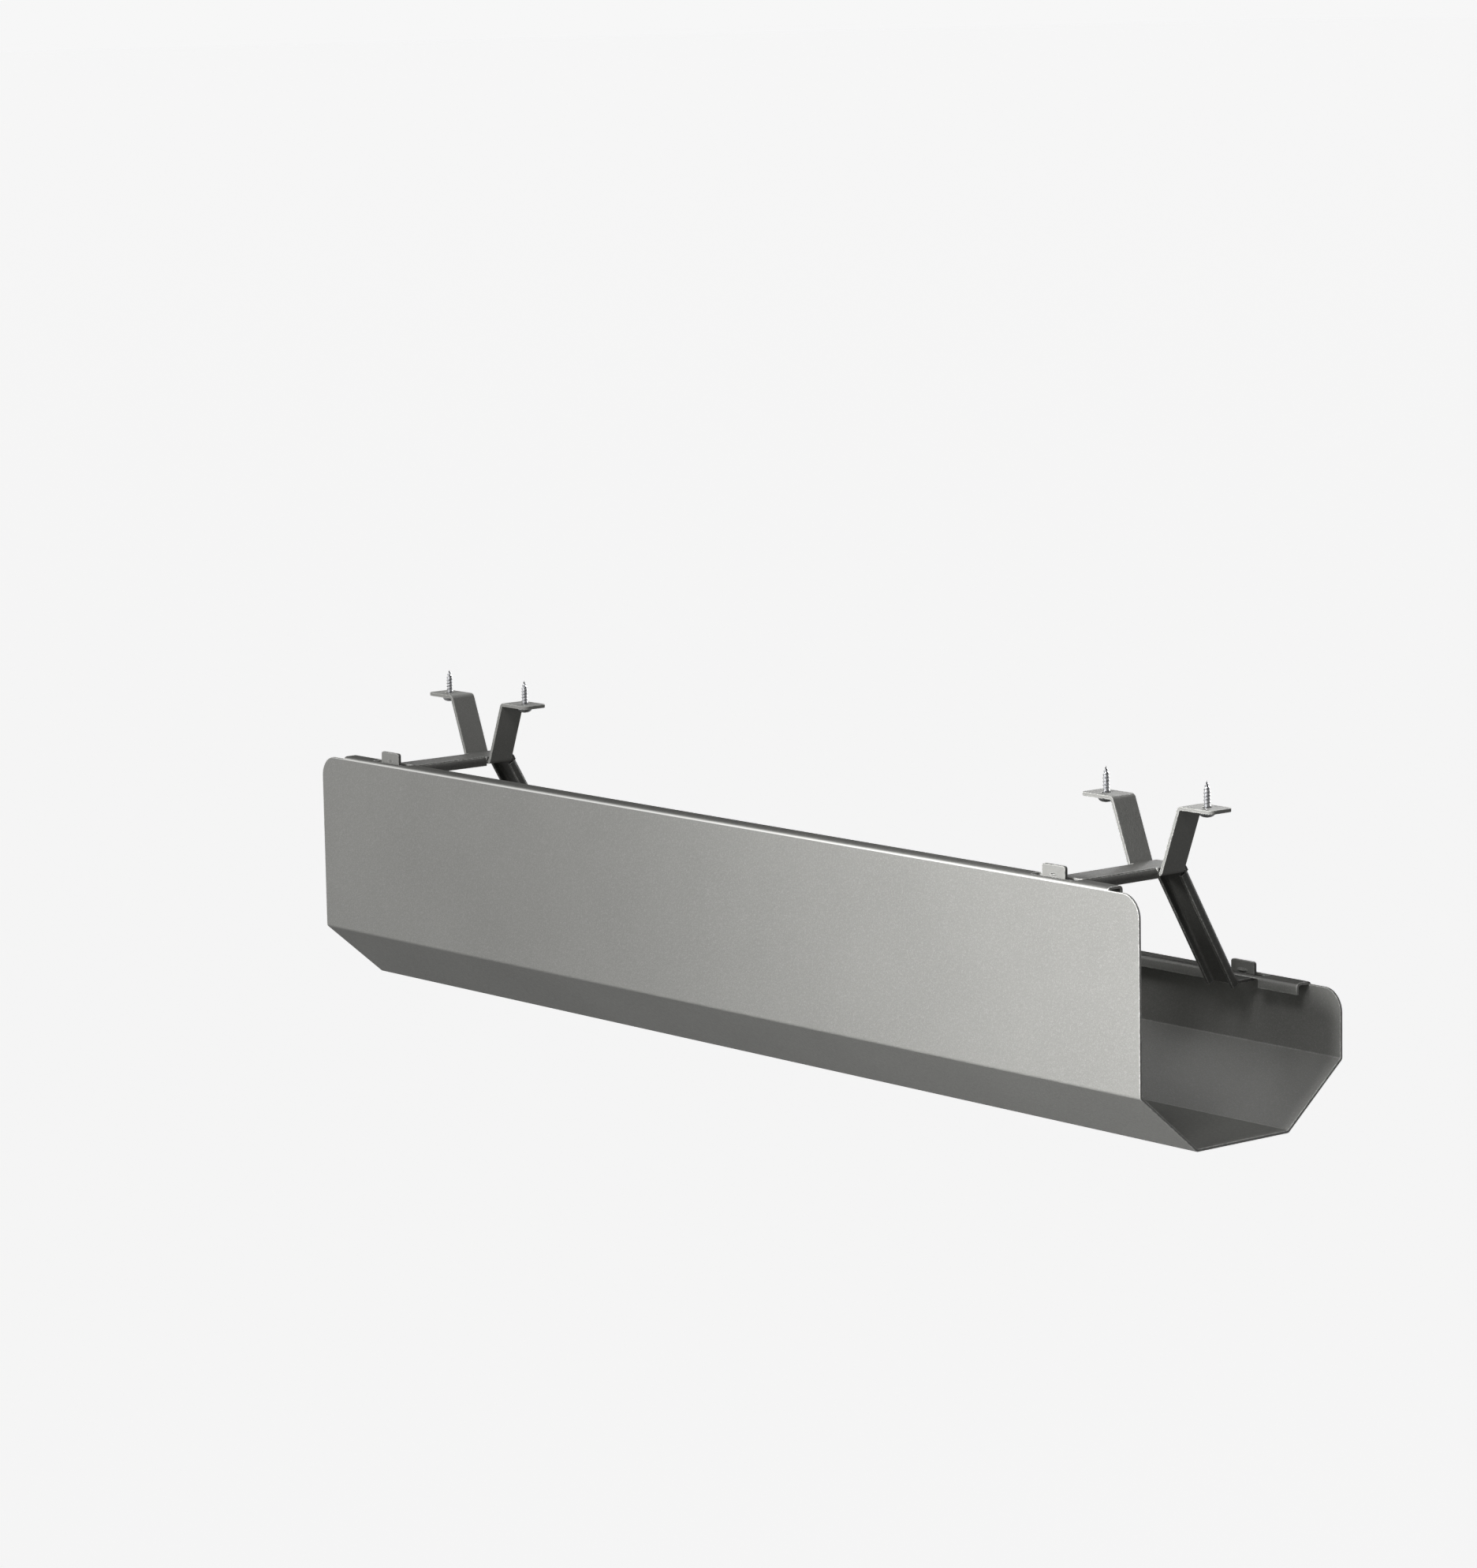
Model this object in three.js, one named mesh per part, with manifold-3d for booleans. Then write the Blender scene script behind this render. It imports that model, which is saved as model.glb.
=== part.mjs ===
// Under-desk cable tray: a folded sheet-metal trough that rests on two hangers, which are screwed
// to the underside of a desktop. The trough lifts straight up off the hangers' upturned plates.
//
// Millimetres. +Z is up, +X runs along the trough, +Y runs from its tall wall to its short wall.
// The origin is on the underside of the desktop, midway between the hangers, at mid-width of the straps.

import * as THREE from 'three';
import { mergeVertices } from 'three/addons/utils/BufferGeometryUtils.js';
import Module from 'manifold-3d';

const wasm = await Module();
wasm.setup();

// ---- Driving dimensions: the trough ----

const TRAY_LENGTH = 700;
const TRAY_SHEET = 1.5;
const TRAY_BEND = 0.8; // inside radius of every fold
const TALL_WALL = 103.7; // from the fold above the slope up to the top of the flange
const SHORT_WALL = 37.8;
const SLOPE_RUN = 39; // the slope between each wall and the floor
const SLOPE_DROP = 32.7;
const FLOOR_WIDTH = 64.7;
const FLANGE_WIDTH = 10.5; // from the wall's outer face to the lip's outer face
const LIP_HEIGHT = 6.2;
const FLANGE_SETBACK = 22.3; // the flanges stop short of the trough's ends by this much
const WALL_CORNER = 12; // radius of the walls' upper corners

// A slot in each flange takes a hanger's plate. Distances are from the wall's outer face.
const SLOT_NEAR = 2.2;
const SLOT_FAR = 8.9;
const SLOT_LENGTH = 32;
const LIP_NOTCH = 29; // the lip is cut away over this length, where the hanger passes

// ---- Driving dimensions: the hangers ----

const DESK_GAP = 31.3; // from the top of the tall wall's flange up to the desktop
const HANGER_OFFSET = 285; // from the middle of the trough to the middle of each hanger
const STRIP = 2; // thickness of the hangers' sheet
const STRIP_BEND = 1;
const ARM_WIDTH = 17; // of the plates and the foot
const CHANNEL_WIDTH = 20; // over the side flanges that stiffen both of the arm's runs
const CHANNEL_DEPTH = 5.5; // with the web's thickness
const NEAR_PLATE = 3; // from the tall wall's outer face to the plate's outer face
const FAR_PLATE = 5.3; // from the short wall's outer face to the plate's outer face
const PLATE_RISE = 8; // height of the plates above the strip that they turn up from
const SLOPING_RUN_LEAN = THREE.MathUtils.degToRad(30); // from the vertical
const APEX = 85.3; // from the tall wall's outer face to the corner where the arm turns down
const LEVEL_RUN = [13, 65.9]; // ends of the level channel, from the tall wall's outer face
const SLOPING_RUN = [4, 77.5]; // ends of the sloping channel, from the apex

const STRAP_WIDTH = 16;
const STRAP_CENTRE = 74.4; // from the tall wall's outer face
const STRAP_BASE = 10.4; // half the width of the strap's flat base, on its upper face
const STRAP_LEAN = THREE.MathUtils.degToRad(21);
const FOOT_END = 48; // from the middle of the hanger to the end of each foot
const SCREW_OFFSET = 37;
const SCREW_HOLE = 5; // diameter

// A snap dimple in each plate stands over the flange's slot.
const DIMPLE_LENGTH = 7;
const DIMPLE_HEIGHT = 1.6;
const DIMPLE_DEPTH = 1.2;
const DIMPLE_RISE = 1.1; // from the top of the flange to the middle of the dimple
const DENT_LENGTH = 4.5;
const DENT_HEIGHT = 1.2;
const DENT_DEPTH = 0.9;

// ---- Driving dimensions: the screws ----

const SCREW_LENGTH = 16;
const SCREW_SHANK = 4.2; // diameter
const SCREW_HEAD = 8.4; // diameter
const SCREW_HEAD_HEIGHT = 2.9;
const SCREW_RIM_HEIGHT = 0.6; // the straight part of the head, next to the foot
const SCREW_TIP = 5;
const RECESS_LENGTH = 4.6;
const RECESS_WIDTH = 1.1;
const RECESS_DEPTH = 1.7;

const GAP = 0.3; // between pieces that touch on the real object
const MARGIN = 1; // how far a cutting tool reaches past the face that it cuts
const ROUND_SEGMENTS = 24;
const CORNER_SEGMENTS = 6;
const BEND_STEP = THREE.MathUtils.degToRad(30); // the largest turn in one facet of a bend

// ---- Derived places ----

const TALL_TOP = -DESK_GAP;
const FOLD_Z = TALL_TOP - TALL_WALL;
const SHORT_TOP = FOLD_Z + SHORT_WALL;
const TRAY_DEPTH = FLOOR_WIDTH + 2 * SLOPE_RUN;
const TALL_FACE = -STRAP_CENTRE;
const SHORT_FACE = TALL_FACE + TRAY_DEPTH;
const WEB_TOP = TALL_TOP - TRAY_SHEET - GAP;
const FOOT_TOP = SHORT_TOP - TRAY_SHEET - GAP;
const NEAR_PLATE_INNER = TALL_FACE + NEAR_PLATE + STRIP;
const FAR_PLATE_INNER = SHORT_FACE - FAR_PLATE - STRIP;
const STRAP_TOP = WEB_TOP - STRIP - GAP;

// ---- Materials ----

function powderCoat(color) {
  return new THREE.MeshStandardMaterial({ color, roughness: 0.5, metalness: 0 });
}

const TRAY_COAT = powderCoat(0x94948f);
const ARM_COAT = powderCoat(0x5d5d5a);
const STRAP_COAT = powderCoat(0x6a6a67);
const ZINC = new THREE.MeshStandardMaterial({ color: 0xb9bcc0, roughness: 0.3, metalness: 1 });

// ---- Solids ----

function toSolid(geometry) {
  const bare = geometry.clone();
  bare.deleteAttribute('normal');
  bare.deleteAttribute('uv');
  const merged = mergeVertices(bare);
  const vertProperties = merged.getAttribute('position').array;
  const triVerts = new Uint32Array(merged.index.array);
  return new wasm.Manifold(new wasm.Mesh({ numProp: 3, vertProperties, triVerts }));
}

function toMesh(name, solid, material) {
  const { vertProperties, triVerts } = solid.getMesh();
  const geometry = new THREE.BufferGeometry();
  geometry.setAttribute('position', new THREE.BufferAttribute(vertProperties, 3));
  geometry.setIndex(new THREE.BufferAttribute(triVerts, 1));
  geometry.computeVertexNormals();
  const mesh = new THREE.Mesh(geometry, material);
  mesh.name = name;
  return mesh;
}

/** A box between two values along each axis, in either order. */
function block(xs, ys, zs) {
  const spans = [xs, ys, zs];
  const sizes = spans.map(([a, b]) => Math.abs(b - a));
  const middles = spans.map(([a, b]) => (a + b) / 2);
  return toSolid(new THREE.BoxGeometry(...sizes).translate(...middles));
}

/** Extrudes an outline drawn in Y and Z along X, centred on X = 0. */
function extrudeAlongX(shape, length) {
  const geometry = new THREE.ExtrudeGeometry(shape, { depth: length, bevelEnabled: false });
  geometry.translate(0, 0, -length / 2);
  const [x, y, z] = [0, 1, 2].map((axis) => new THREE.Vector3().setComponent(axis, 1));
  return geometry.applyMatrix4(new THREE.Matrix4().makeBasis(y, z, x));
}

/** Extrudes an outline drawn in X and Z along Y, centred on Y = 0. */
function extrudeAlongY(shape, length) {
  const options = { depth: length, bevelEnabled: false, curveSegments: CORNER_SEGMENTS };
  const geometry = new THREE.ExtrudeGeometry(shape, options);
  return geometry.translate(0, 0, -length / 2).rotateX(Math.PI / 2);
}

function corners(pairs) {
  return pairs.map(([a, b]) => new THREE.Vector2(a, b));
}

// ---- Bent sheet ----

function leftNormal(from, to) {
  const along = to.clone().sub(from).normalize();
  return new THREE.Vector2(-along.y, along.x);
}

/** Moves a line of corners to its left by a distance, which may be negative. */
function offsetLeft(points, distance) {
  const normals = points.slice(1).map((point, i) => leftNormal(points[i], point));
  return points.map((point, i) => {
    const before = normals[Math.max(i - 1, 0)];
    const after = normals[Math.min(i, normals.length - 1)];
    const mitre = before.clone().add(after).multiplyScalar(distance / (1 + before.dot(after)));
    return mitre.add(point);
  });
}

/** The centre line's points round one corner, each with the normal to its left. */
function bendStations(before, corner, after, radius) {
  const normal = leftNormal(before, corner);
  const along = corner.clone().sub(before).normalize();
  const onward = after.clone().sub(corner).normalize();
  const turn = Math.atan2(along.cross(onward), along.dot(onward));
  const arm = Math.sign(turn) * radius;
  const start = corner.clone().addScaledVector(along, -radius * Math.tan(Math.abs(turn) / 2));
  const centre = start.addScaledVector(normal, arm);
  const facets = Math.ceil(Math.abs(turn) / BEND_STEP);
  const pivot = new THREE.Vector2();
  return Array.from({ length: facets + 1 }, (_, k) => {
    const turned = normal.clone().rotateAround(pivot, (turn * k) / facets);
    return { point: centre.clone().addScaledVector(turned, -arm), normal: turned };
  });
}

/** Outline of a bent sheet that follows a centre line given by its sharp corners. */
function bentSheet(line, thickness, insideRadius) {
  const radius = insideRadius + thickness / 2;
  const last = line.length - 1;
  const stations = [{ point: line[0], normal: leftNormal(line[0], line[1]) }];
  for (let i = 1; i < last; i += 1) {
    stations.push(...bendStations(line[i - 1], line[i], line[i + 1], radius));
  }
  stations.push({ point: line[last], normal: leftNormal(line[last - 1], line[last]) });
  const side = (distance) =>
    stations.map(({ point, normal }) => point.clone().addScaledVector(normal, distance));
  return new THREE.Shape([...side(-thickness / 2), ...side(thickness / 2).reverse()]);
}

// ---- The trough ----

/** The folded section, given by its outer face from the tall wall's lip round to the short wall's lip. */
function troughSection() {
  const floorZ = FOLD_Z - SLOPE_DROP;
  const outerFace = corners([
    [TALL_FACE + FLANGE_WIDTH, TALL_TOP - LIP_HEIGHT],
    [TALL_FACE + FLANGE_WIDTH, TALL_TOP],
    [TALL_FACE, TALL_TOP],
    [TALL_FACE, FOLD_Z],
    [TALL_FACE + SLOPE_RUN, floorZ],
    [SHORT_FACE - SLOPE_RUN, floorZ],
    [SHORT_FACE, FOLD_Z],
    [SHORT_FACE, SHORT_TOP],
    [SHORT_FACE - FLANGE_WIDTH, SHORT_TOP],
    [SHORT_FACE - FLANGE_WIDTH, SHORT_TOP - LIP_HEIGHT],
  ]);
  return bentSheet(offsetLeft(outerFace, TRAY_SHEET / 2), TRAY_SHEET, TRAY_BEND);
}

/** Cuts the flange and lip back from one end of a wall and rounds the corner that is left. */
function endCuts(face, inward, top, end) {
  const tip = end * (TRAY_LENGTH / 2 + MARGIN);
  const setback = end * (TRAY_LENGTH / 2 - FLANGE_SETBACK);
  const across = face + inward * (FLANGE_WIDTH + MARGIN);
  const edge = top - TRAY_SHEET;
  const flange = block([setback, tip], [face - inward * MARGIN, across], [edge, top + MARGIN]);
  const lip = block([setback, tip], [face + inward * TRAY_SHEET, across], [top - LIP_HEIGHT - MARGIN, top]);
  const corner = cornerTool(end, face + (inward * TRAY_SHEET) / 2, edge);
  return [flange, lip, corner];
}

/** What lies outside the round corner of a wall, as a solid through the wall's thickness. */
function cornerTool(end, wallMiddle, edge) {
  const side = (end * TRAY_LENGTH) / 2;
  const shape = new THREE.Shape();
  shape.moveTo(side + end * MARGIN, edge + MARGIN);
  shape.lineTo(side - end * WALL_CORNER, edge + MARGIN);
  shape.lineTo(side - end * WALL_CORNER, edge);
  const finish = end > 0 ? 0 : Math.PI;
  shape.absarc(side - end * WALL_CORNER, edge - WALL_CORNER, WALL_CORNER, Math.PI / 2, finish, end > 0);
  shape.lineTo(side + end * MARGIN, edge - WALL_CORNER);
  return toSolid(extrudeAlongY(shape, TRAY_SHEET + MARGIN).translate(0, wallMiddle, 0));
}

/** Cuts the slot for a hanger's plate and the notch in the lip where the hanger passes under the flange. */
function hangerCuts(face, inward, top, x) {
  const slot = block(
    [x - SLOT_LENGTH / 2, x + SLOT_LENGTH / 2],
    [face + inward * SLOT_NEAR, face + inward * SLOT_FAR],
    [top - TRAY_SHEET - MARGIN, top + MARGIN],
  );
  const notch = block(
    [x - LIP_NOTCH / 2, x + LIP_NOTCH / 2],
    [face + inward * SLOT_FAR, face + inward * (FLANGE_WIDTH + MARGIN)],
    [top - LIP_HEIGHT - MARGIN, top - TRAY_SHEET],
  );
  return [slot, notch];
}

function trough() {
  const walls = [
    { face: TALL_FACE, inward: 1, top: TALL_TOP },
    { face: SHORT_FACE, inward: -1, top: SHORT_TOP },
  ];
  let solid = toSolid(extrudeAlongX(troughSection(), TRAY_LENGTH));
  for (const { face, inward, top } of walls) {
    for (const side of [-1, 1]) {
      const cuts = [
        ...endCuts(face, inward, top, side),
        ...hangerCuts(face, inward, top, side * HANGER_OFFSET),
      ];
      solid = cuts.reduce((rest, cut) => rest.subtract(cut), solid);
    }
  }
  return solid;
}

// ---- The hanger's arm ----

/** A bent strip whose upper face is given by its sharp corners in Y and Z. */
function strip(upperFace, width) {
  const section = bentSheet(offsetLeft(upperFace, -STRIP / 2), STRIP, STRIP_BEND);
  return toSolid(extrudeAlongX(section, width));
}

/** A point on the upper face of the sloping run, at a distance from the apex. */
function onSlopingRun(along) {
  const apex = TALL_FACE + APEX;
  return [apex + along * Math.sin(SLOPING_RUN_LEAN), WEB_TOP - along * Math.cos(SLOPING_RUN_LEAN)];
}

/** The strip from the top of the tall wall's plate, over the apex, to the top of the short wall's plate. */
function armStrip() {
  const upperFace = corners([
    [NEAR_PLATE_INNER, WEB_TOP + PLATE_RISE],
    [NEAR_PLATE_INNER, WEB_TOP],
    onSlopingRun(0),
    onSlopingRun((WEB_TOP - FOOT_TOP) / Math.cos(SLOPING_RUN_LEAN)),
    [FAR_PLATE_INNER, FOOT_TOP],
    [FAR_PLATE_INNER, FOOT_TOP + PLATE_RISE],
  ]);
  return strip(upperFace, ARM_WIDTH);
}

/** The flat web between the two channels, at their full width. The strap passes under it. */
function apexWeb() {
  const levelEnd = [TALL_FACE + LEVEL_RUN[1], WEB_TOP];
  return strip(corners([levelEnd, onSlopingRun(0), onSlopingRun(SLOPING_RUN[0])]), CHANNEL_WIDTH);
}

/** A straight channel with its web's outer face at Z = 0 and its flanges down, between two places on Y. */
function channel([start, end]) {
  const half = CHANNEL_WIDTH / 2;
  const outerFace = corners([
    [-half, -CHANNEL_DEPTH],
    [-half, 0],
    [half, 0],
    [half, -CHANNEL_DEPTH],
  ]);
  const section = bentSheet(offsetLeft(outerFace, -STRIP / 2), STRIP, STRIP_BEND);
  return extrudeAlongY(section, end - start).translate(0, (start + end) / 2, 0);
}

/** A long low mound that stands out along Y, made by squashing a cylinder that lies along X. */
function mound(length, height, depth) {
  const geometry = new THREE.CylinderGeometry(1, 1, length, ROUND_SEGMENTS / 2).rotateZ(Math.PI / 2);
  return geometry.scale(1, depth, height / 2);
}

/** Presses a dimple through a plate, towards the side that inward points to. */
function pressDimple(arm, innerFace, inward, flangeTop) {
  const z = flangeTop + DIMPLE_RISE;
  const raised = mound(DIMPLE_LENGTH, DIMPLE_HEIGHT, DIMPLE_DEPTH).translate(0, innerFace, z);
  const dent = mound(DENT_LENGTH, DENT_HEIGHT, DENT_DEPTH).translate(0, innerFace - inward * STRIP, z);
  return arm.add(toSolid(raised)).subtract(toSolid(dent));
}

function hangerArm() {
  const level = channel(LEVEL_RUN).translate(0, TALL_FACE, WEB_TOP);
  const sloping = channel(SLOPING_RUN).rotateX(SLOPING_RUN_LEAN - Math.PI / 2);
  sloping.translate(0, ...onSlopingRun(0));
  let arm = armStrip().add(apexWeb()).add(toSolid(level)).add(toSolid(sloping));
  arm = pressDimple(arm, NEAR_PLATE_INNER, 1, TALL_TOP);
  return pressDimple(arm, FAR_PLATE_INNER, -1, SHORT_TOP);
}

// ---- The hanger's strap and its screws ----

/** A flat base under the arm, two legs that lean outwards, and two feet flat against the desktop. */
function hangerStrap() {
  const legReach = STRAP_BASE - STRAP_TOP * Math.tan(STRAP_LEAN);
  const upperFace = corners([
    [-FOOT_END, 0],
    [-legReach, 0],
    [-STRAP_BASE, STRAP_TOP],
    [STRAP_BASE, STRAP_TOP],
    [legReach, 0],
    [FOOT_END, 0],
  ]);
  const section = bentSheet(offsetLeft(upperFace, -STRIP / 2), STRIP, STRIP_BEND);
  const radius = SCREW_HOLE / 2;
  let strap = toSolid(extrudeAlongY(section, STRAP_WIDTH));
  for (const side of [-1, 1]) {
    const hole = new THREE.CylinderGeometry(radius, radius, 2 * STRIP, ROUND_SEGMENTS).rotateX(Math.PI / 2);
    strap = strap.subtract(toSolid(hole.translate(side * SCREW_OFFSET, 0, -STRIP / 2)));
  }
  return strap;
}

/** Half the section of a wood screw that points up: a domed head under its seat, a shank and a point. */
function screwProfile(seat, bottom) {
  const rim = SCREW_HEAD / 2;
  const dome = new THREE.Path();
  dome.absellipse(0, seat - SCREW_RIM_HEIGHT, rim, SCREW_HEAD_HEIGHT - SCREW_RIM_HEIGHT, -Math.PI / 2, 0);
  return [
    new THREE.Vector2(0, bottom),
    ...dome.getPoints(CORNER_SEGMENTS).slice(1),
    new THREE.Vector2(rim, seat),
    new THREE.Vector2(SCREW_SHANK / 2, seat),
    new THREE.Vector2(SCREW_SHANK / 2, seat + SCREW_LENGTH - SCREW_TIP),
    new THREE.Vector2(0, seat + SCREW_LENGTH),
  ];
}

/** A pan-head wood screw that points up, with a cross recess in the underside of its head. */
function woodScrew() {
  const seat = -STRIP - GAP;
  const bottom = seat - SCREW_HEAD_HEIGHT;
  const lathe = new THREE.LatheGeometry(screwProfile(seat, bottom), ROUND_SEGMENTS).rotateX(Math.PI / 2);
  const reach = [bottom - MARGIN, bottom + RECESS_DEPTH];
  const long = [-RECESS_LENGTH / 2, RECESS_LENGTH / 2];
  const narrow = [-RECESS_WIDTH / 2, RECESS_WIDTH / 2];
  return toSolid(lathe).subtract(block(long, narrow, reach)).subtract(block(narrow, long, reach));
}

// ---- Assembly ----

const group = new THREE.Group();
group.add(toMesh('tray', trough(), TRAY_COAT));

for (const [side, label] of [[-1, 'left'], [1, 'right']]) {
  const hanger = new THREE.Group();
  hanger.position.x = side * HANGER_OFFSET;
  hanger.add(toMesh(`hanger_${label}_arm`, hangerArm(), ARM_COAT));
  hanger.add(toMesh(`hanger_${label}_strap`, hangerStrap(), STRAP_COAT));
  for (const [foot, place] of [[side, 'outer'], [-side, 'inner']]) {
    const screw = toMesh(`screw_${label}_${place}`, woodScrew(), ZINC);
    screw.position.x = foot * SCREW_OFFSET;
    hanger.add(screw);
  }
  group.add(hanger);
}

export default group;
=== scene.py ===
import math

import bmesh
import bpy
from mathutils import Matrix, Vector


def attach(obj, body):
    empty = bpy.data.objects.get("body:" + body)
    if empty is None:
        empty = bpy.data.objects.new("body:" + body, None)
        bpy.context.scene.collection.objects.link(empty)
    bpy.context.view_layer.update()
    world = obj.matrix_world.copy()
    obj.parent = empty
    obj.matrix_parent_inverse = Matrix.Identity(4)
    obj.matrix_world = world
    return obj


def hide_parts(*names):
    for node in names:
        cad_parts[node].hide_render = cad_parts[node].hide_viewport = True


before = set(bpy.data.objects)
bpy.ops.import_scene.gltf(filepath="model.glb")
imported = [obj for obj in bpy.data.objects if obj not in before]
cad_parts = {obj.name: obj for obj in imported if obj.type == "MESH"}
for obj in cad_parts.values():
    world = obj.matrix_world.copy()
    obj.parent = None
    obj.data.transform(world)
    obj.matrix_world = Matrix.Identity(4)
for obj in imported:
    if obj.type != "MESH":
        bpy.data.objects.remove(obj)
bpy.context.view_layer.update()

# Under-desk cable tray. The pieces are drawn in millimetres and stored in metres.
# +X runs along the trough, +Y from its tall wall to its short wall, and Z = 0 is the desktop.

MM = 0.001

# ---- The trough ----

TRAY_LENGTH = 700
TRAY_SHEET = 1.5
TRAY_BEND = 0.8  # inside radius of every fold
TALL_WALL = 103.7
SHORT_WALL = 37.8
SLOPE_RUN = 39
SLOPE_DROP = 32.7
FLOOR_WIDTH = 64.7
FLANGE_WIDTH = 10.5
LIP_HEIGHT = 6.2
FLANGE_SETBACK = 22.3
WALL_CORNER = 12
SLOT_NEAR = 2.2
SLOT_FAR = 8.9
SLOT_LENGTH = 32
SLOT_CORNER = 1.2  # radius
LIP_NOTCH = 29

# ---- The hangers ----

DESK_GAP = 31.3
HANGER_OFFSET = 285
STRIP = 2
STRIP_BEND = 1
ARM_WIDTH = 17
CHANNEL_WIDTH = 20
CHANNEL_DEPTH = 5.5
NEAR_PLATE = 3
FAR_PLATE = 5.3
PLATE_RISE = 8
PLATE_CORNER = 1.5  # radius
SLOPING_RUN_LEAN = math.radians(30)
APEX = 85.3
LEVEL_RUN = (13, 65.9)
SLOPING_RUN = (4, 77.5)
STRAP_WIDTH = 16
STRAP_CENTRE = 74.4
STRAP_BASE = 10.4
STRAP_LEAN = math.radians(21)
FOOT_END = 48
FOOT_CORNER = 3  # radius
SCREW_OFFSET = 37
SCREW_HOLE = 5
HOLE_SINK = 0.4  # width of the bevelled rim of a screw hole

DIMPLE_LENGTH = 7
DIMPLE_HEIGHT = 1.6
DIMPLE_DEPTH = 1.2
DIMPLE_RISE = 1.1
DENT_LENGTH = 4.5
DENT_HEIGHT = 1.2
DENT_DEPTH = 0.9

# ---- The screws ----

SCREW_LENGTH = 16
SCREW_ROOT = 2.9  # diameter of the core under the thread
SCREW_SHANK = 4.2  # diameter over the thread
SCREW_HEAD = 8.4
SCREW_HEAD_HEIGHT = 2.9
SCREW_RIM_HEIGHT = 0.6
SCREW_TIP = 5
THREAD_PITCH = 1.8
THREAD_START = 1.2  # from the seat
THREAD_FOOT = 0.9  # width of the thread where it meets the core
THREAD_SINK = 0.9  # the thread starts inside the core, at this share of its radius
RECESS_LENGTH = 4.6
RECESS_WIDTH = 1.1
RECESS_DEPTH = 1.7

GAP = 0.3  # between pieces that touch on the real object
MARGIN = 1  # how far a cutting tool reaches past the face that it cuts
BEND_STEP = math.radians(10)
ROUND_SEGMENTS = 48
CORNER_STEP = math.radians(7.5)
EDGE_RADIUS = 0.3  # of the cut edges of the sheet
EDGE_SEGMENTS = 3
SLIVER = 0.03  # points closer than this are merged after the booleans
FLAT_ANGLE = math.radians(0.5)
SHARP_ANGLE = math.radians(38)
NORMAL_WEIGHT = 90  # how strongly the large faces set the shading of the small ones

# ---- Derived places ----

TALL_TOP = -DESK_GAP
FOLD_Z = TALL_TOP - TALL_WALL
FLOOR_Z = FOLD_Z - SLOPE_DROP
SHORT_TOP = FOLD_Z + SHORT_WALL
TALL_FACE = -STRAP_CENTRE
SHORT_FACE = TALL_FACE + FLOOR_WIDTH + 2 * SLOPE_RUN
WEB_TOP = TALL_TOP - TRAY_SHEET - GAP
FOOT_TOP = SHORT_TOP - TRAY_SHEET - GAP
NEAR_PLATE_INNER = TALL_FACE + NEAR_PLATE + STRIP
FAR_PLATE_INNER = SHORT_FACE - FAR_PLATE - STRIP
STRAP_TOP = WEB_TOP - STRIP - GAP

# ---- Coats and plating: linear colours, lengths in metres, noise scales per metre ----

TRAY_GREY = (0.2, 0.2, 0.19)
TRAY_SPECK = (0.29, 0.29, 0.28)
# Paler coat on the tray's cut edges, partly wear and partly a painted highlight; it also paints a
# highlight along the top folds.
TRAY_WEAR_AND_HIGHLIGHT = (0.75, 0.75, 0.73)
# Painted shade on the flanges' upper faces, as if close under the desktop.
FLANGE_SHADE = (0.085, 0.085, 0.081)
# The arm has the strap's coat, painted darker all over: painted shade.
ARM_SHADED_GREY = (0.085, 0.085, 0.08)
ARM_SHADED_SPECK = (0.16, 0.16, 0.15)
STRAP_GREY = (0.2, 0.2, 0.19)
STRAP_SPECK = (0.28, 0.28, 0.27)
# Paler coat on the hangers' cut edges, partly wear and partly a painted highlight.
HANGER_WEAR_AND_HIGHLIGHT = (0.5, 0.5, 0.48)
# Painted light on the hangers' faces that point along Y.
HANGER_UPRIGHT_LIGHT = (0.21, 0.21, 0.2)

COAT_GRAIN = 1700
COAT_PIMPLES = 510  # the coarser texture under the grain
COAT_CLOUDS = 14
COAT_CLOUD_ROUGHNESS = 0.55
COAT_CLOUD_SHADE = 0.86  # the clouds' colour, as a share of the coat's
COAT_CLOUD_DEPTH = 0.45
COAT_SPECULAR = 0.25
COAT_BUMP = (0.8, 0.00022)  # strength and depth
COAT_SPECKS = (0.5, 0.7)  # the grain's values between which a speck comes up
COAT_SPECKLE = 0.5  # how far the specks go towards their colour
COAT_GRAIN_HEIGHT = 0.5  # against the pimples
COAT_WEAR_AND_HIGHLIGHT = (0.3, 0.9)  # least and most wear and painted highlight on a cut edge
COAT_WEAR_AND_HIGHLIGHT_SPAN = (0.4, 0.65)  # the pimples' values that give them
# strength of the highlight painted along the top folds
COAT_FOLD_HIGHLIGHT = 0.65
COAT_EDGE = 0.0008  # how far from an edge the paler coat of wear and painted highlight reaches
COAT_EDGE_SAMPLES = 4
COAT_ROUGHNESS = (0.36, 0.5)
COAT_CLOUD_DULL = 0.06  # how much rougher the clouds make it
COAT_POLISH = 0.2  # how much smoother the coat is where it is worn and where a highlight is painted
NOISE_ROUGHNESS = 0.6
NOISE_SPAN = (0.3, 0.7)  # where most of a noise's values lie

# Where each mask goes from 0 to 1, as parts of a unit normal unless metres are given.
EDGE_TURN = (0.999, 0.95)
UPRIGHT_FACING = (0.93, 0.98)
FOLD_RISE = (0.1, 0.25)
FOLD_LEVEL = (0.55, 0.35)
FOLD_OUTWARD = (0, 0.01)  # in metres, times a part of a unit normal
OVERHEAD_LEVEL = (0.55, 0.8)
OVERHEAD_HEIGHT = (-0.12, -0.11)  # in metres, between the floor and the short wall's flange

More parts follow.
